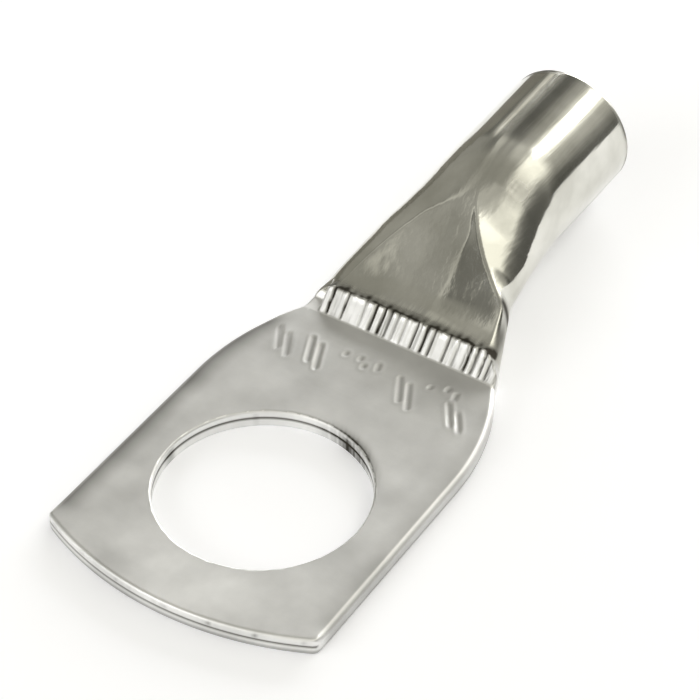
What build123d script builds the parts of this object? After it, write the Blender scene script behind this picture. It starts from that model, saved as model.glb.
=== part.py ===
from build123d import *
import math
import os

# Tube cable lug for one stranded conductor: a length of copper tube whose front half is
# pressed flat into a palm with a stud hole, and whose rear half stays a round barrel.
# Origin: centre of the stud hole, on the underside of the palm.
# +X runs along the barrel towards its open mouth, +Z is up from the palm, sizes in mm.

# The tube
tube_diameter = 8.6
tube_wall = 0.9

# The palm
hole_diameter = 13.0
palm_thickness = 1.2
side_land = 2.84           # metal beside the hole
end_land = 4.1             # metal between the hole and the free end
throat = 8.12              # from the hole to the foot of the step
side_taper = 0.011         # how much each side closes in, per mm towards the barrel
tip_radius = 20.8          # bow of the free end
shoulder_length = 8.2      # the stretch where the palm narrows, up to the foot of the step
shoulder_drop = 2.3        # how much each side comes in over that stretch
side_roll = 0.38           # breaking of the long edges, which are the tube's own folds
under_chamfer = 0.22       # the same edges on the underside, pressed against the lower die
rim_chamfer = 0.1          # the punched hole's upper edge, rolled over by the punch

# The step, the neck and the barrel
step_angle = 45.0
slot_height = 2.45         # the tube where it leaves the palm, pressed nearly flat
neck_length = 11.3         # from the step's upper edge to the full round of the barrel
neck_bend = 0.165          # share of the neck's length that each bend of its slant takes
barrel_length = 7.95
neck_draw = 1.5            # how early the neck draws in to the barrel's width; 1 is evenly
dish = 0.5                 # how far the middle of the neck's pressed face would sink at most
slit_gap = 0.9             # from the step's upper edge to the closed end of the inside
mouth_chamfer = 0.15

# Drag marks that the press leaves down the face of the step
flute_pitch = 0.46
flute_radius = 0.2
flute_depth = 0.07

# What follows from the sizes above
tube_radius = tube_diameter / 2
hole_radius = hole_diameter / 2
step_foot = hole_radius + throat
step_run = (slot_height - palm_thickness) / math.tan(math.radians(step_angle))
step_top = step_foot + step_run
slit_end = step_top + slit_gap
neck_end = step_top + neck_length
tip = -(hole_radius + end_land)
widest = hole_radius + side_land
shoulder_start = step_foot - shoulder_length
side_points = 12            # spans on each side of a section
run_out = 0.02              # radians of each half circle that the flats keep, to the very end
joint_tolerance = 0.0005    # between the neck's last section and the barrel's circle

# Stations of the neck's sections, as shares of its length: closest where its slant bends
neck_shares = (0.06, 0.13, 0.22, 0.33, 0.45, 0.57, 0.69, 0.8, 0.89, 0.95, 0.98, 1.0)


def wall_half_width(x):
    """Half width of the palm's straight sides: widest level with the hole, less the taper."""
    return widest - side_taper * x


def shoulder_half_width(x):
    """Half width where the palm narrows: a circle's drop from the straight side."""
    radius = (shoulder_length**2 + shoulder_drop**2) / (2 * shoulder_drop)
    along = x - shoulder_start
    return wall_half_width(shoulder_start) - radius + math.sqrt(radius**2 - along**2)


def neck_height(x):
    """Outer height of the tube along the neck: a straight slant from the slot to the full
    diameter, which starts and ends in a parabola."""
    share = min(1.0, max(0.0, (x - step_top) / neck_length))
    bent = 2 * neck_bend * (1 - neck_bend)
    if share < neck_bend:
        risen = share**2 / bent
    elif share > 1 - neck_bend:
        risen = 1 - (1 - share) ** 2 / bent
    else:
        risen = (share - neck_bend / 2) / (1 - neck_bend)
    return slot_height + (tube_diameter - slot_height) * risen


def neck_half_width(x):
    """Outer half width behind the palm: from the foot of the step it draws in to the round
    barrel, fast at first and then ever more gently."""
    left = max(0.0, (neck_end - x) / (neck_end - step_foot))
    return tube_radius + (shoulder_half_width(step_foot) - tube_radius) * left**neck_draw


def neck_dish(x):
    """Sink of the pressed face: none at the step, most in mid neck, and less and less as
    the face narrows towards the barrel."""
    share = min(1.0, max(0.0, (x - step_top) / neck_length))
    narrowed = (neck_half_width(x) - neck_height(x) / 2) / tube_radius
    return dish * narrowed * math.sin(math.pi * share)


def lower_round(x):
    """Radius of the lower half of the tube's side: the palm's rolled edge at the foot of the
    step, easing into the whole half circle where the inside begins."""
    share = min(1.0, (x - step_foot) / (slit_end - step_foot))
    eased = (1 - math.cos(math.pi * share)) / 2
    return side_roll + (neck_height(x) / 2 - side_roll) * eased


def side_point(x, inset, share):
    """Point on one side of the tube at x, set in by inset: share goes from 0 at the lower
    flat, over the lower round, the upright and the upper round, to 1 at the upper flat."""
    height = neck_height(x) - 2 * inset
    half_width = neck_half_width(x) - inset
    upper = height / 2
    lower = lower_round(x) - inset
    upright = height - upper - lower
    sweep = math.pi / 2 - run_out
    walked = share * (sweep * (lower + upper) + upright)
    if walked < sweep * lower:
        angle = run_out + walked / lower
        return half_width - lower + lower * math.sin(angle), inset + lower * (1 - math.cos(angle))
    if walked < sweep * lower + upright:
        return half_width, inset + lower + walked - sweep * lower
    angle = (walked - sweep * lower - upright) / upper
    return half_width - upper + upper * math.cos(angle), inset + height - upper * (1 - math.sin(angle))


def section(x, inset):
    """Section of the tube at x, set in by inset: an underside, two sides and a dished top."""
    shares = [number / side_points for number in range(side_points + 1)]
    right = [(x, *side_point(x, inset, share)) for share in shares]
    left = [(x, -y, z) for x, y, z in reversed(right)]
    under = (x, 0, inset)
    over = (x, 0, neck_height(x) - inset - neck_dish(x))
    edges = [
        Edge.make_spline([left[-1], under, right[0]], parameters=[0, 0.5, 1]),
        Edge.make_spline(right, parameters=shares),
        Edge.make_spline([right[-1], over, left[0]], parameters=[0, 0.5, 1]),
        Edge.make_spline(left, parameters=shares),
    ]
    return Face(Wire(edges))


def palm():
    """The coined plate: bowed free end, straight sides, and shoulders that draw in to the
    step. Its long edges are broken, its free end is a plain cut."""
    corner = tip + tip_radius - math.sqrt(tip_radius**2 - widest**2)
    middle = (shoulder_start + step_foot) / 2
    wide = wall_half_width(corner)
    start = (shoulder_start, wall_half_width(shoulder_start))
    halfway = (middle, shoulder_half_width(middle))
    foot = (step_foot, shoulder_half_width(step_foot))
    with BuildPart() as plate:
        with BuildSketch():
            with BuildLine():
                ThreePointArc((corner, -wide), (tip, 0), (corner, wide))
                Line((corner, wide), start)
                ThreePointArc(start, halfway, foot)
                Line(foot, (foot[0], -foot[1]))
                ThreePointArc((foot[0], -foot[1]), (halfway[0], -halfway[1]), (start[0], -start[1]))
                Line((start[0], -start[1]), (corner, -wide))
            make_face()
        extrude(amount=palm_thickness)
        for level, size in ((-1, side_roll), (0, under_chamfer)):
            face = plate.faces().sort_by(Axis.Z)[level]
            sides = [edge for edge in face.edges() if abs(edge.center().Y) > hole_radius / 2]
            chamfer(sides, size)
    return plate.part


def tube_skin():
    """Outside of the tube from the palm to the barrel, before the press cuts the step."""
    stations = [step_foot + step_run * share for share in (0, 0.5, 1)]
    stations += [step_top + neck_length * share for share in neck_shares]
    return loft([section(x, 0) for x in stations])


def tube_inside():
    """Hollow of the neck: the round bore narrows to a flat slit that ends at the step."""
    stations = [slit_end] + [step_top + neck_length * share for share in neck_shares[1:]]
    return loft([section(x, tube_wall) for x in stations])


def press():
    """What the upper die clears away: all above the palm, and above the face of the step."""
    above = tube_diameter * 2
    far = tip * 2
    reach = above / math.tan(math.radians(step_angle))
    with BuildPart() as cleared:
        with BuildSketch(Plane.XZ):
            with BuildLine():
                Polyline(
                    (far, palm_thickness),
                    (step_foot, palm_thickness),
                    (step_foot + reach, palm_thickness + above),
                    (far, palm_thickness + above),
                    close=True,
                )
            make_face()
        extrude(amount=widest * 2, both=True)
    return cleared.part


def flute(y):
    """One drag mark: a shallow round groove straight down the face of the step."""
    tilt = math.radians(step_angle)
    lift = flute_radius - flute_depth
    foot = (step_foot - lift * math.sin(tilt), y, palm_thickness + lift * math.cos(tilt))
    down_face = Plane(origin=foot, z_dir=(math.cos(tilt), 0, math.sin(tilt)))
    length = 1.5 * step_run / math.cos(tilt)
    groove = Cylinder(flute_radius, length, align=(Align.CENTER, Align.CENTER, Align.MIN))
    return down_face * Pos(0, 0, flute_depth) * groove


def barrel():
    """The round barrel, open at the mouth, with the mouth's two edges broken."""
    foot = Plane(origin=(neck_end, 0, tube_radius), z_dir=(1, 0, 0))
    with BuildPart(foot) as tube:
        Cylinder(tube_radius, barrel_length, align=(Align.CENTER, Align.CENTER, Align.MIN))
        Cylinder(
            tube_radius - tube_wall,
            barrel_length,
            align=(Align.CENTER, Align.CENTER, Align.MIN),
            mode=Mode.SUBTRACT,
        )
        chamfer(tube.faces().sort_by(Axis.X)[-1].edges(), mouth_chamfer)
    return tube.part


def flutes():
    """Drag marks side by side over the whole width of the step."""
    count = int((2 * neck_half_width(step_top) - slot_height) / flute_pitch)
    return [flute((number - (count - 1) / 2) * flute_pitch) for number in range(count)]


def lug():
    """The whole lug, one piece of metal."""
    pressed = palm() + (tube_skin() - press()) - tube_inside() - flutes()
    stud_hole = Cylinder(hole_radius, palm_thickness * 4)
    flare = Cone(hole_radius, hole_radius + 2 * rim_chamfer, 2 * rim_chamfer)
    stud_hole += Pos(0, 0, palm_thickness) * flare
    return (pressed - stud_hole).fuse(barrel(), tol=joint_tolerance)


if __name__ == "__main__":
    os.makedirs("parts", exist_ok=True)
    export_step(lug(), "parts/cable_lug.step")
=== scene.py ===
import math

import bmesh
import bpy
import mathutils
import numpy as np
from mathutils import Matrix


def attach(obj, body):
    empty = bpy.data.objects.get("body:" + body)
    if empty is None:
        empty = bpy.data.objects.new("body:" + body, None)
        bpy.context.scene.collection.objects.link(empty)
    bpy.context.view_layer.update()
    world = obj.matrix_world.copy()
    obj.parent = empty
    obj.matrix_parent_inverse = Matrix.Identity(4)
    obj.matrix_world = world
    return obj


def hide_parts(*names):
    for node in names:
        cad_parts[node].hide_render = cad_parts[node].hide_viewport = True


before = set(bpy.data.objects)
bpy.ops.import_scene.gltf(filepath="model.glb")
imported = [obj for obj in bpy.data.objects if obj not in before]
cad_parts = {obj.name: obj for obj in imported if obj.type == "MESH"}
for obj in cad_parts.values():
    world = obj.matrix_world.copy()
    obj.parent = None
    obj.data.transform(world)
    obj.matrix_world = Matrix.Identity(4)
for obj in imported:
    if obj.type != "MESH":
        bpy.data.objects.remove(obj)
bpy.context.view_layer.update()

# The lug: one length of copper tube. Its rear half stays round for the conductor, its front
# half is pressed flat into a palm and punched for the stud, and all of it is tin plated.
# Sizes are in millimetres, from the centre of the stud hole on the underside of the palm.
mm = 0.001
tube_radius = 4.3
tube_wall = 0.9
hole_radius = 6.5
palm_thickness = 1.2
side_land = 2.84           # metal beside the hole
end_land = 4.095           # metal between the hole and the free end
throat = 8.12              # from the hole to the foot of the step
side_taper = 0.011         # how much each side closes in, per mm towards the barrel
tip_radius = 20.8          # bow of the free end
shoulder_length = 8.2      # the stretch where the palm narrows, up to the foot of the step
shoulder_drop = 2.3        # how much each side comes in over that stretch
side_roll = 0.38           # rounding of the long edges, which are the tube's own folds
slot_height = 2.45         # the tube where it leaves the palm
neck_length = 11.3         # from the step's upper edge to the round of the barrel
slant_length = 11.9        # the stretch over which the crest climbs, a little into the barrel
foot_bend = 0.12           # share of that stretch in its lower bend
barrel_bend = 0.41         # and in its upper one
neck_draw = 1.5            # power of the neck's narrowing towards the barrel
barrel_length = 7.95
slit_gap = 0.9             # from the step's upper edge to the closed end of the inside
mouth_chamfer = 0.15

step_foot = hole_radius + throat
step_top = step_foot + slot_height - palm_thickness
slit_end = step_top + slit_gap
neck_end = step_top + neck_length
mouth = neck_end + barrel_length
tip = -(hole_radius + end_land)
widest = hole_radius + side_land
shoulder_start = step_foot - shoulder_length


def eased(start, end, x):
    """Zero before start, one after end, and the cubic 3s2 - 2s3 of the share s between."""
    share = np.clip((x - start) / (end - start), 0.0, 1.0)
    return share * share * (3.0 - 2.0 * share)


def bell(distance, width):
    """One at no distance, and less and less to both sides: e to the minus (d / w) squared."""
    return np.exp(-((distance / width) ** 2))


def ripple(x, lengths, depth, seed):
    """Sum of cosines of x, one for each wavelength, with seeded phases and weights."""
    chance = np.random.default_rng(seed)
    total = np.zeros_like(x)
    for length in lengths:
        weight, phase = chance.uniform(0.4, 1.0), chance.uniform(0.0, 2 * math.pi)
        total += weight * np.cos(2 * math.pi * x / length + phase)
    return depth * total / len(lengths)


def half_width(x):
    """Half width: straight sides with a taper, a circle's drop at the shoulder, and behind
    the foot of the step a power of the distance left to the round barrel."""
    bow = (shoulder_length**2 + shoulder_drop**2) / (2 * shoulder_drop)
    along = np.clip(x - shoulder_start, 0.0, shoulder_length)
    level = widest - side_taper * np.minimum(x, shoulder_start)
    front = level - bow + np.sqrt(bow**2 - along**2)
    left = np.clip((neck_end - x) / (neck_end - step_foot), 0.0, 1.0)
    foot = widest - side_taper * shoulder_start - shoulder_drop
    return np.where(x < step_foot, front, tube_radius + (foot - tube_radius) * left**neck_draw)


def height(x):
    """Outer height of the tube: parabola, straight slant and parabola, slot to barrel."""
    share = np.clip((x - step_top) / slant_length, 0.0, 1.0)
    pace = 1 - foot_bend / 2 - barrel_bend / 2
    risen = (share - foot_bend / 2) / pace
    over = 1 - (1 - share) ** 2 / (2 * barrel_bend * pace)
    risen = np.where(share > 1 - barrel_bend, over, risen)
    risen = np.where(share < foot_bend, share**2 / (2 * foot_bend * pace), risen)
    return slot_height + (2 * tube_radius - slot_height) * risen


def near_half_width(x):
    """Half width on the side that the press pinched: a straight taper from the step and a
    nearly straight tube, joined by the log of the sum of their exponentials, and eased into
    the even width at both ends."""
    foot_width, taper, tube_taper, sharpness = 7.02, 0.425, 0.04, 9
    pinched_from, pinched_until, tube_from = 16.0, 25.5, 27.2
    tapered = foot_width - taper * (x - step_foot)
    tube_side = tube_radius + tube_taper * (tube_from - x)
    pinched = np.logaddexp(tapered * sharpness, tube_side * sharpness) / sharpness
    share = eased(step_foot, pinched_from, x) * (1 - eased(pinched_until, neck_end, x))
    return half_width(x) * (1 - share) + pinched * share


def far_half_width(x):
    """Half width on the other side: the even width and a bulge behind the step, where the
    press pushed the metal."""
    bulge, full_from, full_until, bulge_end = 0.45, 18.4, 20.3, 24.5
    pushed = bulge * eased(step_foot, full_from, x)
    return half_width(x) + pushed * (1 - eased(full_until, bulge_end, x))


def near_border(x):
    """Border of the pressed face on the pinched side: a straight line and a power curve
    down to the face's tip, the lower of the two with a softened corner."""
    line_width, line_slope, sharpness = 5.5, 0.2, 5
    curve_width, curve_length, curve_power = 4.95, 5.9, 1.9
    fades_from, face_tip = 23.4, 24.6
    line = line_width - line_slope * (x - step_top)
    curve = curve_width * (np.maximum(face_tip - x, 0.0) / curve_length) ** curve_power
    lower = -np.logaddexp(-line * sharpness, -curve * sharpness) / sharpness
    return lower * (1 - eased(fades_from, face_tip, x))


def near_tilt(x):
    """Slope with which the round leaves the pressed face on that side: even at first, and
    then less and less towards the face's tip."""
    even_slope, fall, fall_start, fall_length = 0.42, 0.2, 22.2, 2.1
    return even_slope - fall * np.clip(x - fall_start, 0.0, fall_length)


def far_border(x):
    """Border of the pressed face on the other side: its width at the step less a power of
    the way along it, faded out towards its tip."""
    face_width, face_length, face_power, fades_from, face_tip = 5.4, 8.4, 1.5, 21.4, 24.8
    share = np.clip((x - step_top) / face_length, 0.0, 1.0)
    return face_width * (1 - share**face_power) * (1 - eased(fades_from, face_tip, x))


def tube_section(x, inset, count, wide, flat, tilt, shelf):
    """Half section of the tube at each x, set in by inset, as count + 1 points from the
    middle of the underside round the side to the middle of the top. Flat, arc, upright, part
    of an ellipse and flat face are laid end to end. The ellipse leaves the face with the
    slope that tilt gives, or without one at an angle by a power of the face's share of the
    width. The press takes off what stands above the palm and above a 45 degree plane, which
    stands back by shelf at its outer end, and the points are spread evenly along the rest."""
    fine_points, least_round = 90, 0.1
    most_flat, flat_power, most_fall = 0.92, 1.5, 0.46
    shelf_start, shelf_end, edge_roll, edge_blend = 5.75, 6.0, 0.02, 0.05
    x = x[:, None]
    full = height(x)
    tall = full - 2 * inset
    wide = wide(x) - inset
    flat = np.clip(flat(x), 0.0, wide - least_round)
    upper = tall / 2
    opened = np.clip((x - step_foot) / (slit_end - step_foot), 0, 1)
    rounding = (1 - np.cos(math.pi * opened)) / 2
    lower = side_roll + (full / 2 - side_roll) * rounding - inset
    run = np.linspace(0.0, 1.0, fine_points)[None, :]
    turn = run * math.pi / 2
    if tilt is None:
        begin = np.arcsin(np.clip(flat / wide, 0, most_flat) ** flat_power)
    else:
        fall = np.clip(tilt(x) * (wide - flat) / upper, 0, most_fall)
        begin = np.arcsin(fall / (1 - fall))
    round_turn = math.pi / 2 + (begin - math.pi / 2) * run
    y = np.concatenate([
        (wide - lower) * run, wide - lower + lower * np.sin(turn), wide + 0 * run,
        flat + (wide - flat) * (np.sin(round_turn) - np.sin(begin)) / (1 - np.sin(begin)),
        flat * (1 - run)], axis=1)
    z = np.concatenate([
        0 * run * wide, lower * (1 - np.cos(turn)), lower + (tall - upper - lower) * run,
        tall - upper + upper * np.cos(round_turn) / np.cos(begin), tall + 0 * run], axis=1)
    if inset == 0:
        roll = side_roll * (1 - eased(step_foot, step_top, x)) + edge_roll
        into = np.clip(roll - (wide - y), 0.0, roll)
        back = shelf * eased(shelf_start, shelf_end, y)
        cut = palm_thickness + np.maximum(x - step_foot - back, 0)
        cut = cut - roll + np.sqrt(roll**2 - into**2)
        share = np.clip(0.5 + 0.5 * (cut - z) / edge_blend, 0, 1)
        soft = cut * (1 - share) + z * share - edge_blend * share * (1 - share)
        z = np.where(x > step_foot, soft, np.minimum(z, cut))
    walked = np.zeros_like(y)
    walked[:, 1:] = np.cumsum(np.hypot(np.diff(y, axis=1), np.diff(z, axis=1)), axis=1)
    even = np.linspace(0.0, 1.0, count + 1)
    rows = [
        (np.interp(even * length[-1], length, across), np.interp(even * length[-1], length, up))
        for length, across, up in zip(walked, y, z)]
    return np.array([row[0] for row in rows]), inset + np.array([row[1] for row in rows])


def pressed_face(x, y):
    """How deep the pressed face sinks: nothing at its two borders, and straight from each
    down to one fold along it, with the fold and the borders rounded by a square root. The
    far part also falls by the cube of the way left to the fold."""
    fold_y, fold_from, fold_slope, fold_most = -0.55, 17.1, 0.08, 0.6
    fold_blend, near_blend, far_blend = 0.10, 0.06, 0.09
    straight_part, cubic_part = 0.35, 0.65
    face_depth, sink_end, sink_fade = 0.68, 22.8, 4.4
    starts, full_from, narrowest = step_top + 0.05, step_top + 2.5, 0.01
    near, far = np.maximum(near_border(x), narrowest), np.maximum(far_border(x), narrowest)
    fold = np.maximum(fold_y - fold_slope * (x - fold_from), -fold_most * near)
    far_share, near_share = (far - y) / (far - fold), (y + near) / (fold + near)
    far_share = (far_share + np.sqrt(far_share**2 + far_blend**2)) / 2
    near_share = (near_share + np.sqrt(near_share**2 + near_blend**2)) / 2
    cubic = 1 - np.maximum(1 - far_share, 0) ** 3
    far_share = straight_part * far_share + cubic_part * cubic
    share = np.minimum(far_share, near_share)
    share = 1 + fold_blend - np.sqrt((1 - share) ** 2 + fold_blend**2)
    depth = face_depth * np.clip((sink_end - x) / sink_fade, 0, 1)
    return depth * share * eased(starts, full_from, x)


def both_sides(x, far, near):
    """Closed loops of points from half sections: up the +Y side, then down the -Y side."""
    across = np.concatenate([far[0], -near[0][:, -2:0:-1]], axis=1)
    up = np.concatenate([far[1], near[1][:, -2:0:-1]], axis=1)
    return np.stack([x[:, None] + 0 * up, across, up], axis=2)


half_points = 168          # spans from the middle of the underside to the middle of the top
flat_points = 72           # of these, the ones on the flat top, and as many on the underside
step_rows, neck_rows, barrel_rows = 27, 74, 15
past_step, barrel_last = step_top + 0.35, mouth - 0.6
far_side = (far_half_width, far_border, None, 1.0)
near_side = (near_half_width, near_border, near_tilt, 0.0)

outside_x = np.concatenate([
    np.linspace(step_foot, past_step, step_rows)[:-1],
    np.linspace(past_step, neck_end, neck_rows)[:-1],
    np.linspace(neck_end, barrel_last, barrel_rows),
    [mouth - 0.4, mouth - 0.25, mouth - mouth_chamfer]])
outside = both_sides(
    outside_x,
    tube_section(outside_x, 0.0, half_points, *far_side),
    tube_section(outside_x, 0.0, half_points, *near_side))

# Drag marks down the face of the step, and the burr that the press leaves along its upper
# edge: each a row of ripples across the lug, kept to its own place.
face_reach, mark_depth, mark_shift = 0.09, 0.16, 0.7
burr_width = 0.11
x, y, z = outside[..., 0], outside[..., 1], outside[..., 2]
crest = height(x)
face_plane = palm_thickness + (x - step_foot)
on_face = np.clip(1.3 - np.abs(z - face_plane) / face_reach, 0, 1)
on_face = on_face * eased(step_foot, step_foot + 0.12, x) * (z > palm_thickness)
marks = np.clip(ripple(y, (0.52, 0.61, 0.45, 0.74, 0.38), 2.0, 5) - 0.12, 0, 1) * -mark_depth
marks = marks + ripple(y, (0.21, 0.26, 0.33), 0.055, 6)
marks = marks + ripple(y + 0.12 * x, (1.9, 2.7), 0.03, 7)
burr = np.clip(ripple(y, (0.9, 1.4, 0.57, 2.2), 0.2, 8) + 0.02, 0, 1)
burr = burr * bell(x - step_top + 0.03, burr_width) * (np.abs(y) < half_width(x) - 0.5)

# Dirt and painted shade on the outside of the tube, from 0 to 1: painted shade in the drag
# marks, where the neck is pinched and beside its pressed face, dirt on a scuff over the
# shoulder, a painted reflection of the floor's shadow in the dark line low along the near
# side, and a painted dark reflection under the burr and on the neck close behind it.
pinch_x, pinch_y, pinch_size = 19.0, -4.95, 0.45
scuff_x, scuff_y, scuff_size = 24.8, -2.3, 0.9
line_shade, line_level, line_width = 0.42, 0.26, 0.055
# Painted shade in the deepest drag marks.
outside_dirt_and_shade = on_face * np.clip((-marks - 0.02) / 0.06, 0, 1)
# Painted dark reflection on the crest just behind the step's upper edge.
behind = bell(x - step_top - 0.3, 0.28) * (z > 0.8 * crest)
# Painted shade in the pinched pocket, and low beside the pressed face on the near side.
pinch_shade = bell(x - pinch_x, pinch_size) * bell(y - pinch_y, pinch_size) * (z > 0.4 * crest)
flank_shade = eased(0.0, 0.5, -near_border(x) - y) * eased(19.6, 17.4, x) * eased(1.1, 2.6, z)
pinch_shade = pinch_shade + 0.75 * flank_shade * (1 - on_face)
scuff = bell(x - scuff_x, scuff_size) * bell(y - scuff_y, scuff_size) * (z > crest / 2)
streaks = ripple(x + y, (0.6, 0.9), 0.3, 33) * ripple(x - 2 * y, (0.8, 1.3), 1, 34)
scuff = scuff * np.clip(0.42 + streaks, 0, 1)
# Painted reflection of the floor's shadow: a dark band low along the near side.
low_shade_line = line_shade * bell(z / crest - line_level, line_width) * (y < 0)
low_shade_line = low_shade_line * eased(18.0, 20.0, x)
# Painted dark reflection in a band just behind the burr on the step's upper edge.
lip = bell(x - step_top - 0.12 - ripple(y, (1.1, 2.3), 0.05, 61), 0.11) * (z > 2)
lip = lip * np.clip(0.55 + ripple(y, (0.8, 1.3, 2.1, 4.7), 0.9, 62), 0.1, 1)
outside_dirt_and_shade = np.clip(outside_dirt_and_shade + pinch_shade + scuff + low_shade_line + lip, 0, 1)
# The painted dark reflection behind the step, made uneven across the lug.
behind = behind * (0.6 + ripple(y, (0.5, 0.8, 1.7), 0.9, 12))
outside_dirt_and_shade = np.clip(outside_dirt_and_shade + behind, 0, 1)

# The tube's own points are shifted: by the drag marks and the burr, down to the folded face
# with faint rings round a dent in it, and in by up to 0.03 mm where the barrel isn't round.
dent_x, dent_y, dent_reach = 18.4, 3.0, 1.2
ring_height, ring_spacing = 0.008, 0.8
out_of_round = 0.03
from_dent = np.hypot(1.3 * (x - dent_x), y - dent_y)
dent = ring_height * np.cos(2 * math.pi * from_dent / ring_spacing) * bell(from_dent, dent_reach)
sunk = (pressed_face(x, y) + dent) * (z > 0.6 * crest)
outside[..., 0] += -mark_shift * on_face * marks
outside[..., 2] += mark_shift * on_face * marks * eased(step_foot, step_foot + 0.3, x)
outside[..., 2] += burr * (z > 2) - sunk
uneven = ripple(0.9 * y + 0.2 * x, (2.6, 3.7), 1, 31) * ripple(z - 0.15 * x, (3.1, 5.3), 1, 32)
uneven = -out_of_round * (0.5 + 0.5 * uneven) * eased(19.0, 24.0, x)
outside[..., 1] += uneven * y / tube_radius
outside[..., 2] += uneven * (z - tube_radius) / tube_radius

# The mouth: the tube is sawn square, and both edges of the cut are lightly broken.
bore_radius = tube_radius - tube_wall
slope_back, slope_in, cut_land, cut_dip = 0.05, 0.1, 0.3, 0.01
around = np.linspace(0.0, 1.0, half_points + 1) * math.pi
mouth_rows = []
for ring_x, radius in (
    (mouth - slope_back, tube_radius - slope_in), (mouth, tube_radius - mouth_chamfer),
    (mouth, tube_radius - cut_land), (mouth - cut_dip, tube_radius - tube_wall / 2),
    (mouth, bore_radius + cut_land), (mouth, bore_radius + mouth_chamfer),
    (mouth - slope_back, bore_radius + slope_in), (mouth - mouth_chamfer, bore_radius),
):
    ring = (radius * np.sin(around))[None, :], (tube_radius - radius * np.cos(around))[None, :]
    mouth_rows.append(both_sides(np.array([ring_x]), ring, ring))

# The inside: the bore goes into the neck, narrows to a slit and is pressed shut. Its last
# row lies halfway between the slit's two walls, where they meet.
inside_x = np.concatenate([
    np.linspace(mouth - 0.4, neck_end, 6)[:-1], np.linspace(neck_end, slit_end, 26)])
inside = both_sides(
    inside_x,
    tube_section(inside_x, tube_wall, half_points, *far_side),
    tube_section(inside_x, tube_wall, half_points, *near_side))
x, y, z = inside[..., 0], inside[..., 1], inside[..., 2]
inside[..., 2] -= 0.8 * pressed_face(x, y) * (z > height(x) / 2)
shut = inside[-1:].copy()
opposite = (half_points - np.arange(2 * half_points)) % (2 * half_points)
shut[0, :, 1] = (shut[0, :, 1] + shut[0, opposite, 1]) / 2
shut[0, :, 2] = (shut[0, :, 2] + shut[0, opposite, 2]) / 2
shut[0, :, 0] -= 0.1
tube = np.concatenate([outside, *mouth_rows, inside, shut])

# Dirt in the saw marks of the mouth's outer edge and a painted dark reflection there, most
# of it high on the far side.
tube_dirt_and_shade = np.zeros(tube.shape[:2])
tube_dirt_and_shade[: len(outside)] = outside_dirt_and_shade
rim = slice(len(outside) - 3, len(outside) + 2)
x, y, z = tube[rim, :, 0], tube[rim, :, 1], tube[rim, :, 2]
rim_dirt_and_shade = 0.15 + 0.7 * eased(0.2, 1.2, y) * eased(4.0, 6.0, z) + 0.4 * eased(-2.2, -3.2, y)
rim_dirt_and_shade = rim_dirt_and_shade + ripple(y - z, (1.7, 0.9, 2.9, 4.3), 0.5, 41)
tube_dirt_and_shade[rim] = np.clip(rim_dirt_and_shade, 0, 1) * eased(mouth - 0.5, mouth - 0.2, x)

# The palm: a walk from the hole's lower edge out over the underside, up the side, in over
# the top and down the wall of the hole, carried round the outline. Behind the hole it has
# no side, because there the tube goes on, and it shares the tube's first row of points.
step_points = 2 * flat_points
wall_points = half_points - 2 * flat_points
first = outside[0]
side_y = first[flat_points : flat_points + wall_points + 1, 1]
side_z = first[flat_points : flat_points + wall_points + 1, 2]
side_inset = half_width(np.array([step_foot]))[0] - side_y

# Its outline: the long side, the bow of the free end and the other side, whose corners are
# rounded by a moving average, as points and the way out from each.
edge_points, fine_points, soften_points, outline_points = 600, 3001, 75, 260
corner_x = tip + tip_radius - math.sqrt(tip_radius**2 - widest**2)
long_side = np.linspace(step_foot, corner_x, edge_points)
corner_angle = math.asin(half_width(np.array([corner_x]))[0] / tip_radius)
bow_angle = np.linspace(corner_angle, -corner_angle, edge_points)[1:-1]
line_x = np.concatenate([
    long_side, tip + tip_radius * (1 - np.cos(bow_angle)), long_side[::-1]])
line_y = np.concatenate([
    half_width(long_side), tip_radius * np.sin(bow_angle), -half_width(long_side[::-1])])
line_length = np.concatenate([[0], np.cumsum(np.hypot(np.diff(line_x), np.diff(line_y)))])
fine = np.linspace(0, line_length[-1], fine_points)
fine_x = np.interp(fine, line_length, line_x)
fine_y = np.interp(fine, line_length, line_y)
padding = soften_points // 2
window = np.hanning(soften_points + 2)
window = window[1:-1] / window.sum()
inner = slice(padding, -padding)
fine_x[inner] = np.convolve(fine_x, window, mode="valid")
fine_y[inner] = np.convolve(fine_y, window, mode="valid")
stops = np.linspace(0, fine[-1], outline_points + 1)
outline_x = np.interp(stops, fine, fine_x)
outline_y = np.interp(stops, fine, fine_y)
outward_x = np.interp(stops, fine, np.gradient(fine_y, fine))
outward_y = np.interp(stops, fine, -np.gradient(fine_x, fine))
outward_x = outward_x * eased(shoulder_start - 1, shoulder_start - 6, outline_x)
outward_y = np.where(outward_x == 0, np.sign(outward_y), outward_y)

# Its side: the tube's own fold along the shoulders and the long sides, and at the free end a
# sheared cut with broken edges and the seam between the tube's two walls.
at_tip = eased(corner_x + 0.5, corner_x - 0.1, outline_x)[None, :]
cut_power, cut_break, cut_margin = 1.3, 0.12, 0.5
seam_level, seam_depth, seam_width = 0.52, 0.055, 0.05
cut_row = np.linspace(-1, 1, wall_points + 1)
cut_walk = 0.5 + 0.5 * np.sign(cut_row) * np.abs(cut_row) ** cut_power
cut_slant = cut_break * 1.41
cut_length = np.cumsum([
    0, cut_margin - cut_break, cut_slant, palm_thickness - 2 * cut_break, cut_slant,
    cut_margin - cut_break])
cut_inset = np.interp(
    cut_walk * cut_length[-1], cut_length, [cut_margin, cut_break, 0, 0, cut_break, cut_margin])
cut_level = np.interp(
    cut_walk * cut_length[-1], cut_length,
    [0, 0, cut_break, palm_thickness - cut_break, palm_thickness, palm_thickness])
seam = seam_depth * bell(cut_level - seam_level * palm_thickness, seam_width)
wall_inset = side_inset[:, None] * (1 - at_tip) + (cut_inset + seam)[:, None] * at_tip
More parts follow.
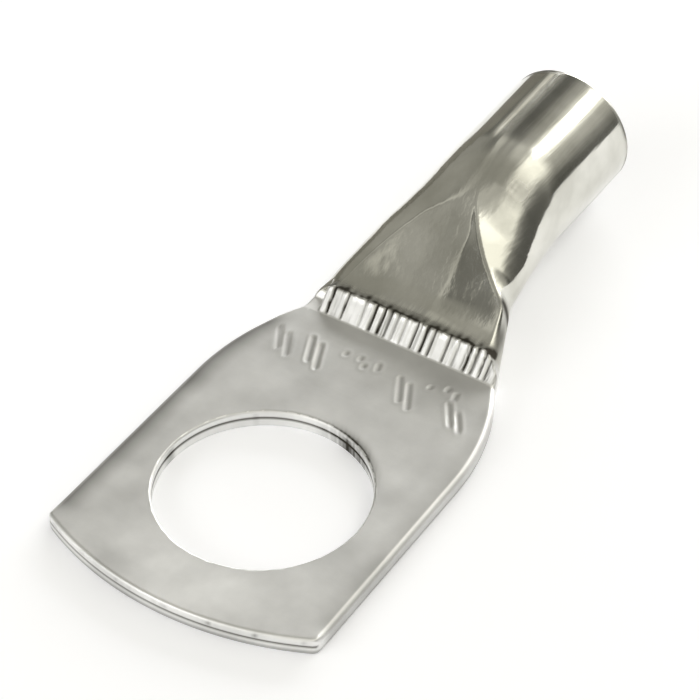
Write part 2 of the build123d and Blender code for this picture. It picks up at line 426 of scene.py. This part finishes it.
wall_level = side_z[:, None] * (1 - at_tip) + cut_level[:, None] * at_tip
wall = np.stack([
    outline_x - wall_inset * outward_x, outline_y - wall_inset * outward_y, wall_level], axis=2)

across_top = np.concatenate([
    np.arange(2 * half_points - (half_points - flat_points), half_points, -1),
    np.arange(half_points, half_points - flat_points - 1, -1)])
across_under = np.concatenate([
    np.arange(2 * half_points - flat_points, 2 * half_points), np.arange(0, flat_points + 1)])
top_edge = np.concatenate([first[across_top], wall[-1, 1:-1]])
under_edge = np.concatenate([first[across_under], wall[0, 1:-1]])
columns = len(top_edge)


def ring_round_hole(edge, radius, level):
    """Points on a level circle round the hole, each in line with one point of an edge."""
    angle = np.arctan2(edge[:, 1], edge[:, 0])
    radius = radius + 0 * angle
    return np.stack([radius * np.cos(angle), radius * np.sin(angle), level + 0 * angle], axis=1)


def spread_between(start, end, count):
    """Rows of points from start to end, both left out, straight and evenly spaced."""
    share = np.linspace(0, 1, count + 2)[1:-1, None, None]
    return start[None] * (1 - share) + end[None] * share


# The punched hole: its upper rim is rolled over with a low, uneven burr, its lower edge is
# sharp, and half way down its wall runs the seam between the tube's two walls.
rim_break, lower_break = 0.14, 0.03
roll_from, roll_share = 0.9, 0.1
groove_level, groove_depth, groove_width = 0.56, 0.05, 0.03
burr_level, burr_share = 0.975, 0.02
upper_rim = ring_round_hole(top_edge, hole_radius + rim_break, palm_thickness)
lower_rim = ring_round_hole(under_edge, hole_radius + lower_break, 0.0)
top_rows = spread_between(top_edge, upper_rim, 66)
under_rows = spread_between(lower_rim, under_edge, 8)
angle = np.arctan2(top_edge[:, 1], top_edge[:, 0])
raised = np.clip(ripple(angle, (0.9, 0.37, 0.21, 0.13), 0.05, 9) + 0.015, 0, 0.06)
hole_rows = []
for share in (1.0, 0.985, 0.95, 0.9, 0.8, 0.7, 0.62, 0.585, 0.56, 0.535, 0.5, 0.4, 0.2, 0.03):
    rolled = max(0.0, (share - roll_from) / roll_share)
    groove = groove_depth * bell(share - groove_level, groove_width)
    radius = hole_radius + rim_break * rolled**2 + groove
    lift = raised * bell(share - burr_level, burr_share)
    hole_rows.append(ring_round_hole(top_edge, radius, palm_thickness * share + lift))

wall_rows = np.zeros((wall_points - 1, columns, 3))
wall_rows[:, step_points:, :] = wall[1:-1, :-1]
wall_rows[:, 0, :] = wall[1:-1, -1]
palm = np.concatenate([
    lower_rim[None], under_rows, under_edge[None], wall_rows, top_edge[None], top_rows,
    np.array(hole_rows)])
under_count = 2 + len(under_rows)
hole_first = len(palm) - len(hole_rows)
side_and_top = slice(under_count, hole_first)

# Plain marks pressed into the palm, which say nothing: short bars, and dots that are bars of
# next to no length, each with its place, its turn and half its length.
press_marks = (
    (11.4, 6.5, 0.5, 0.9), (11.1, 5.7, 0.5, 0.9), (11.5, 4.3, 0.4, 1.0), (11.2, 3.5, 0.4, 1.0),
    (11.4, -2.2, 0.5, 1.0), (11.1, -3.0, 0.5, 1.0), (11.1, -5.9, 0.6, 0.9),
    (10.8, -6.7, 0.6, 0.7), (12.3, 2.2, 0.0, 0.05), (12.4, 1.2, 0.0, 0.05),
    (11.9, 0.7, 0.0, 0.05), (12.3, -0.1, 0.3, 0.2), (12.5, -3.7, 0.0, 0.05),
    (12.9, -4.7, 0.0, 0.1), (12.6, -5.4, 0.2, 0.2))


def stamped(x, y):
    """Depth of the marks pressed into the palm: a bell curve of the distance from each bar's
    middle line, and round it a low raised lip."""
    mark_sink, mark_width = 0.07, 0.15
    lip_height, lip_away, lip_width = 0.025, 0.28, 0.1
    depth = np.zeros_like(x)
    for mark_x, mark_y, turn, half_length in press_marks:
        along = (x - mark_x) * math.cos(turn) + (y - mark_y) * math.sin(turn)
        aside = (y - mark_y) * math.cos(turn) - (x - mark_x) * math.sin(turn)
        away = np.hypot(np.maximum(np.abs(along) - half_length, 0), aside)
        raised_lip = lip_height * bell(away - lip_away, lip_width)
        depth += mark_sink * bell(away, mark_width) - raised_lip
    return depth


# Dirt and painted shade on the palm, from 0 to 1: painted shade in the marks and low along
# the palm's edge, dirt on the torn upper part of the sheared end, in the seam and in patches
# down the wall of the hole.
x, y, level = palm[..., 0], palm[..., 1], palm[..., 2] / palm_thickness
on_top = level > 0.99
at_cut = x < corner_x + 0.1
off_hole = np.hypot(x, y) > hole_radius + 1
below_rim = hole_first + 4
palm_dirt_and_shade = np.zeros(palm.shape[:2])
# Painted shade in the pressed marks.
palm_dirt_and_shade += np.clip(stamped(x, y) * 3, 0, 0.15) * on_top
torn = np.clip(ripple(y, (1.3, 0.7, 0.45, 2.9), 1.3, 54) - 0.15, 0, 0.8) * at_cut
palm_dirt_and_shade += torn * bell(level - 0.78, 0.12) * off_hole
# Painted shade: darker towards the lower edge of the palm.
palm_dirt_and_shade += 0.5 * bell(level - 0.16, 0.16) * off_hole
seam_dirt = bell(level - 0.54, 0.07)
palm_dirt_and_shade[hole_first:] += 0.8 * seam_dirt[hole_first:]
palm_dirt_and_shade[below_rim:] += np.clip(
    ripple(angle, (0.5, 0.83, 0.31, 1.9), 1.3, 21) - 0.35, 0, 0.7)
smudge = bell(angle + 0.38, 0.3) * (0.7 + ripple(angle, (0.09, 0.05), 0.5, 22))
palm_dirt_and_shade[hole_first:] += smudge * np.linspace(0.4, 1, len(hole_rows))[:, None]

# On the flat top: painted shade in soft clouds, left off round one place beside the hole as a
# painted highlight, and darker along part of the hole's rim.
painted_highlight = bell(x + 8.2, 5.0) * bell(y + 1.5, 6.0)
painted_blotches = ripple(x + 0.6 * y, (5.1, 7.7, 3.2), 1, 51) * ripple(
    y - 0.5 * x, (6.3, 4.1, 9.0), 1, 52)
from_hole = np.hypot(x, y) - hole_radius
at_rim = bell(np.arctan2(y, x) + 0.47, 0.38) * bell(from_hole, 0.42)
at_rim = at_rim * (0.6 + ripple(2 * y - x, (0.9, 0.6, 1.7), 0.3, 53))
painted_palm_shade = 0.26 * (1 - painted_highlight) + 0.16 * painted_blotches + at_rim
palm_dirt_and_shade += np.clip(painted_palm_shade, 0, 1) * on_top * (x < step_foot - 0.02)

# The press rounded the palm's long sides a little, and painted shade darkens them, more on
# the +Y side; the seam of the sheared end holds dirt, and the marks are stamped in.
edge_reach, edge_sink = 1.7, 0.09
inward = np.clip(1 - (half_width(x) - np.abs(y)) / edge_reach, 0, 1)
inward = inward * (1 - eased(12.0, 14.2, x)) * eased(corner_x - 0.2, corner_x + 1.5, x)
palm_dirt_and_shade[side_and_top] += (0.9 * seam_dirt * at_cut)[side_and_top]
# Painted shade along the long sides, more on the +Y side.
palm_dirt_and_shade[side_and_top] += ((0.3 + 0.35 * (y > 0)) * inward**1.5)[side_and_top]
palm[side_and_top, :, 2] -= (
    edge_sink * inward**2 * np.clip(level, 0, 1) + stamped(x, y) * on_top)[side_and_top]


def grid_faces(rows, columns, first):
    """Quads between each row of points and the next, with the last column joined to the
    first: one row's point, its neighbour, and the two above them."""
    row, column = np.meshgrid(np.arange(rows - 1), np.arange(columns), indexing="ij")
    next_column = (column + 1) % columns
    quads = [row * columns + column, row * columns + next_column,
             (row + 1) * columns + next_column, (row + 1) * columns + column]
    return first + np.stack(quads, axis=2)


# Tube and palm become one closed mesh: the palm's last row is joined to its first, and its
# side is left out where the tube goes on. Points that lie on each other are merged.
merge_distance, least_edge = 1e-7, 1e-8
tube_faces = grid_faces(len(tube), 2 * half_points, 0)
palm_faces = grid_faces(len(palm), columns, tube.shape[0] * tube.shape[1])
closing = np.stack([palm_faces[-1, :, 3], palm_faces[-1, :, 2],
                    palm_faces[0, :, 1], palm_faces[0, :, 0]], axis=1)
keep = np.ones(palm_faces.shape[:2], bool)
keep[under_count - 1 : under_count - 1 + wall_points, :step_points] = False
faces = np.concatenate([tube_faces.reshape(-1, 4), palm_faces[keep], closing])
points = np.concatenate([tube.reshape(-1, 3), palm.reshape(-1, 3)]) * mm
dirt_and_shade = np.concatenate([tube_dirt_and_shade.reshape(-1), palm_dirt_and_shade.reshape(-1)])
used, faces = np.unique(faces, return_inverse=True)
lug_mesh = bpy.data.meshes.new("lug")
lug_mesh.from_pydata(points[used], [], faces.reshape(-1, 4))
# The point attribute carries dirt and painted shade for the material.
dirt_and_shade_layer = lug_mesh.attributes.new("dirt_and_shade", "FLOAT", "POINT")
dirt_and_shade_layer.data.foreach_set("value", np.clip(dirt_and_shade[used], 0, 1).astype(np.float32))
shape = bmesh.new()
shape.from_mesh(lug_mesh)
bmesh.ops.remove_doubles(shape, verts=shape.verts, dist=merge_distance)
bmesh.ops.dissolve_degenerate(shape, edges=shape.edges, dist=least_edge)
for face in shape.faces:
    face.smooth = True
shape.to_mesh(lug_mesh)
shape.free()
lug = bpy.data.objects.new("lug", lug_mesh)
bpy.context.scene.collection.objects.link(lug)


def ranged(tree, source, start, end, least=0.0, most=1.0, kind="SMOOTHSTEP"):
    """Output of a node that goes from least at start to most at end of what source gives."""
    node = tree.nodes.new("ShaderNodeMapRange")
    node.interpolation_type = kind
    node.inputs["From Min"].default_value = start
    node.inputs["From Max"].default_value = end
    node.inputs["To Min"].default_value = least
    node.inputs["To Max"].default_value = most
    tree.links.new(source, node.inputs["Value"])
    return node.outputs["Result"]


def worked_out(tree, operation, *values):
    """Output of a node that does one sum, each value a number or another node's output."""
    node = tree.nodes.new("ShaderNodeMath")
    node.operation = operation
    for socket, value in zip(node.inputs, values):
        if isinstance(value, float):
            socket.default_value = value
        else:
            tree.links.new(value, socket)
    return node.outputs[0]


def mixed(tree, kind, factor, first, second):
    """Output of a node that goes from first to second by factor, each of the two a colour,
    a number or another node's output."""
    node = tree.nodes.new("ShaderNodeMix")
    node.data_type = kind
    tree.links.new(factor, node.inputs["Factor"])
    for socket, value in ((node.inputs["A"], first), (node.inputs["B"], second)):
        if isinstance(value, (float, tuple)):
            socket.default_value = value
        else:
            tree.links.new(value, socket)
    return node.outputs["Result"]


def tin_plate():
    """Tin plate: bright where the tube was only drawn, satin where the press coined it, with
    faint clouds, fine grain, and dull dirt and painted shade by the mesh's own attribute."""
    palm_roughness, tube_roughness, dirt_roughness = 0.48, 0.11, 0.7
    palm_tints = ((0.80, 0.80, 0.79, 1), (0.97, 0.97, 0.96, 1))
    tube_tints = ((0.62, 0.615, 0.56, 1), (0.82, 0.815, 0.76, 1))
    dirt_and_shade_colour = (0.06, 0.055, 0.045, 1)
    palm_grain = 0.35
    material = bpy.data.materials.new("tin plate")
    material.use_nodes = True
    tree = material.node_tree
    nodes, links = tree.nodes, tree.links
    metal = nodes["Principled BSDF"]
    metal.inputs["Metallic"].default_value = 1.0
    place = nodes.new("ShaderNodeTexCoord")
    split = nodes.new("ShaderNodeSeparateXYZ")
    links.new(place.outputs["Object"], split.inputs[0])
    zone = ranged(tree, split.outputs["X"], (step_foot + 0.9) * mm, (step_top + 0.3) * mm)
    cloud = nodes.new("ShaderNodeTexNoise")
    cloud.inputs["Scale"].default_value = 260.0
    cloud.inputs["Detail"].default_value = 5.0
    links.new(place.outputs["Object"], cloud.inputs["Vector"])
    clouding = ranged(tree, cloud.outputs["Fac"], 0.35, 0.65, kind="LINEAR")
    palm_tint = mixed(tree, "RGBA", clouding, *palm_tints)
    tube_tint = mixed(tree, "RGBA", clouding, *tube_tints)
    tint = mixed(tree, "RGBA", zone, palm_tint, tube_tint)
    # The mesh's attribute mixes in the dark colour, both for dirt and for painted shade and dark
    # reflections.
    dirt = nodes.new("ShaderNodeAttribute")
    dirt.attribute_name = "dirt_and_shade"
    darkened = mixed(tree, "RGBA", dirt.outputs["Fac"], tint, dirt_and_shade_colour)
    links.new(darkened, metal.inputs["Base Color"])
    rough = ranged(tree, zone, 0.0, 1.0, palm_roughness, tube_roughness, "LINEAR")
    dull = mixed(tree, "FLOAT", dirt.outputs["Fac"], rough, dirt_roughness)
    links.new(dull, metal.inputs["Roughness"])
    grains = []
    for stretch, detail in (((1500, 260, 1500), 6.0), ((90, 1100, 1100), 4.0)):
        draw = nodes.new("ShaderNodeMapping")
        draw.inputs["Scale"].default_value = stretch
        links.new(place.outputs["Object"], draw.inputs["Vector"])
        grain = nodes.new("ShaderNodeTexNoise")
        grain.inputs["Scale"].default_value = 1.0
        grain.inputs["Detail"].default_value = detail
        links.new(draw.outputs["Vector"], grain.inputs["Vector"])
        grains.append(grain.outputs["Fac"])
    fainter = worked_out(tree, "MULTIPLY", grains[0], palm_grain)
    surface = mixed(tree, "FLOAT", zone, fainter, grains[1])
    relief = nodes.new("ShaderNodeBump")
    relief.inputs["Strength"].default_value = 0.6
    relief.inputs["Distance"].default_value = 0.00004
    links.new(surface, relief.inputs["Height"])
    links.new(relief.outputs["Normal"], metal.inputs["Normal"])
    return material


lug_mesh.materials.append(tin_plate())
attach(lug, "root")
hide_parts("cable_lug")

# The floor: a sheet of white paper that runs out of view on all sides. It glows faintly to
# the camera and in reflections, so that it looks white there and still keeps its shadow.
floor_half, paper_glow = 1.5, 0.24
floor_mesh = bpy.data.meshes.new("floor")
floor_mesh.from_pydata(
    [(-floor_half, -floor_half, 0), (floor_half, -floor_half, 0),
     (floor_half, floor_half, 0), (-floor_half, floor_half, 0)], [], [(0, 1, 2, 3)])
floor = bpy.data.objects.new("floor", floor_mesh)
bpy.context.scene.collection.objects.link(floor)
paper = bpy.data.materials.new("white paper")
paper.use_nodes = True
tree = paper.node_tree
sheet = tree.nodes["Principled BSDF"]
sheet.inputs["Base Color"].default_value = (0.9, 0.905, 0.95, 1)
sheet.inputs["Roughness"].default_value = 0.9
ray = tree.nodes.new("ShaderNodeLightPath").outputs
either = worked_out(tree, "MAXIMUM", ray["Is Camera Ray"], ray["Is Glossy Ray"])
any_ray = worked_out(tree, "MAXIMUM", either, ray["Is Transmission Ray"])
glow = tree.nodes.new("ShaderNodeEmission")
glow.inputs["Color"].default_value = (1, 1, 0.99, 1)
tree.links.new(worked_out(tree, "MULTIPLY", any_ray, paper_glow), glow.inputs["Strength"])
both = tree.nodes.new("ShaderNodeAddShader")
tree.links.new(sheet.outputs[0], both.inputs[0])
tree.links.new(glow.outputs[0], both.inputs[1])
tree.links.new(both.outputs[0], tree.nodes["Material Output"].inputs["Surface"])
floor_mesh.materials.append(paper)

# A dark card that stands behind the lug, out of the picture, as photographers put it there
# for the edge of bright metal to show against white paper. Only reflections meet it.
card_mesh = bpy.data.meshes.new("dark card")
card_mesh.from_pydata(
    [(0.075, 0.006, 0), (0.0, 0.075, 0), (0.0, 0.075, 0.014), (0.075, 0.006, 0.014)],
    [], [(0, 1, 2, 3)])
card = bpy.data.objects.new("dark card", card_mesh)
bpy.context.scene.collection.objects.link(card)
board = bpy.data.materials.new("grey board")
board.use_nodes = True
board_surface = board.node_tree.nodes["Principled BSDF"]
board_surface.inputs["Base Color"].default_value = (0.30, 0.29, 0.26, 1)
board_surface.inputs["Roughness"].default_value = 0.9
card_mesh.materials.append(board)
card.visible_camera = False
card.visible_diffuse = False
card.visible_shadow = False

# The studio's room: greys by how far to the side one looks, from the camera's side at 0 to
# the far side at 1, with one row of them beyond the barrel and another for all the rest. It
# is greyer overhead and low down beside the palm. Each grey has its place and its strength.
brightest, warmth = 1.6, (1, 0.98, 0.88)
greys_ahead = (
    (0.0, 0.08), (0.105, 0.05), (0.143, 0.13), (0.185, 0.40), (0.242, 0.55), (0.275, 0.95),
    (0.305, 1.5), (0.41, 1.55), (0.45, 0.7), (0.48, 0.46), (0.549, 0.34), (0.629, 0.14),
    (0.704, 0.12), (0.75, 0.28), (0.80, 0.3), (0.824, 0.95), (0.845, 0.2), (0.87, 0.1),
    (0.90, 0.28), (1.0, 0.3))
greys_behind = (
    (0.0, 0.1), (0.06, 0.12), (0.1, 0.18), (0.14, 0.36), (0.17, 1.0), (0.2, 1.5),
    (0.36, 1.55), (0.4, 0.8), (0.45, 0.55), (0.54, 0.6), (0.585, 0.42), (0.608, 0.33),
    (0.635, 0.42), (0.655, 0.36), (0.69, 0.31), (0.718, 0.52), (0.755, 0.6), (0.778, 0.2),
    (0.80, 0.18), (0.87, 0.3), (1.0, 0.35))
world = bpy.data.worlds.new("studio")
bpy.context.scene.world = world
world.use_nodes = True
tree = world.node_tree
view_way = tree.nodes.new("ShaderNodeTexCoord")
way_parts = tree.nodes.new("ShaderNodeSeparateXYZ")
tree.links.new(view_way.outputs["Generated"], way_parts.inputs[0])
way_x, way_y = way_parts.outputs["X"], way_parts.outputs["Y"]
across = ranged(tree, way_y, -1.0, 1.0, kind="LINEAR")
halves = []
for greys in (greys_ahead, greys_behind):
    half = tree.nodes.new("ShaderNodeValToRGB")
    for place, _ in greys[1:-1]:
        half.color_ramp.elements.new(place)
    for stop, (_, grey) in zip(half.color_ramp.elements, greys):
        stop.color = (*(grey / brightest * tone for tone in warmth), 1)
    tree.links.new(across, half.inputs["Fac"])
    halves.append(half.outputs["Color"])
room = mixed(tree, "RGBA", ranged(tree, way_x, 0.67, 0.57), *halves)
from_top = worked_out(tree, "ABSOLUTE", worked_out(tree, "SUBTRACT", way_x, 0.05))
overhead = ranged(tree, from_top, 0.42, 0.15, most=0.75)
overhead = worked_out(tree, "MULTIPLY", overhead, ranged(tree, way_y, -0.28, -0.1))
by_palm = ranged(tree, way_x, -0.06, -0.46, most=0.5)
by_palm = worked_out(tree, "MULTIPLY", by_palm, ranged(tree, way_y, 0.1, -0.3))
greyer = worked_out(tree, "MAXIMUM", overhead, by_palm)
surroundings = mixed(tree, "RGBA", greyer, room, (0.22, 0.215, 0.19, 1))
background = tree.nodes["Background"]
tree.links.new(surroundings, background.inputs["Color"])
background.inputs["Strength"].default_value = brightest

# The studio's lights: three soft boxes that face the lug from half a metre away, over the
# barrel, before the step and beyond the mouth. The camera doesn't see them.
box_distance, lit_place = 0.5, np.array([0.012, 0, 0])
for name, toward, sides, power in (
    ("window box", (0.69, -0.28, 0.69), (0.12, 0.12), 0.05),
    ("step box", (-0.80, 0.40, 0.45), (0.4, 0.16), 0.6),
    ("far box", (0.95, 0.15, 0.25), (0.5, 0.25), 2.0),
):
    lamp = bpy.data.lights.new(name, "AREA")
    lamp.shape = "RECTANGLE"
    lamp.size, lamp.size_y = sides
    lamp.energy = power
    box = bpy.data.objects.new(name, lamp)
    way = np.array(toward) / np.linalg.norm(toward)
    box.location = way * box_distance + lit_place
    box.rotation_euler = mathutils.Vector(way).to_track_quat("Z", "Y").to_euler()
    box.visible_camera = False
    bpy.context.scene.collection.objects.link(box)

# The camera stands where the photograph was taken from, with a long lens. Its place and turn
# were worked out from the outlines of the hole, the palm and the barrel.
camera_data = bpy.data.cameras.new("camera")
camera_data.lens = 180.0
camera_data.sensor_width = 36.0
camera_data.clip_start = 0.01
camera = bpy.data.objects.new("camera", camera_data)
camera.matrix_world = mathutils.Matrix((
    (0.54579273, 0.56984502, -0.61431828, -0.1178186),
    (-0.83787945, 0.36392775, -0.40683487, -0.0842488),
    (-0.00826536, 0.73677218, 0.67609055, 0.1448559),
    (0, 0, 0, 1)))
bpy.context.scene.collection.objects.link(camera)
bpy.context.scene.camera = camera
bpy.context.scene.view_settings.view_transform = "Standard"
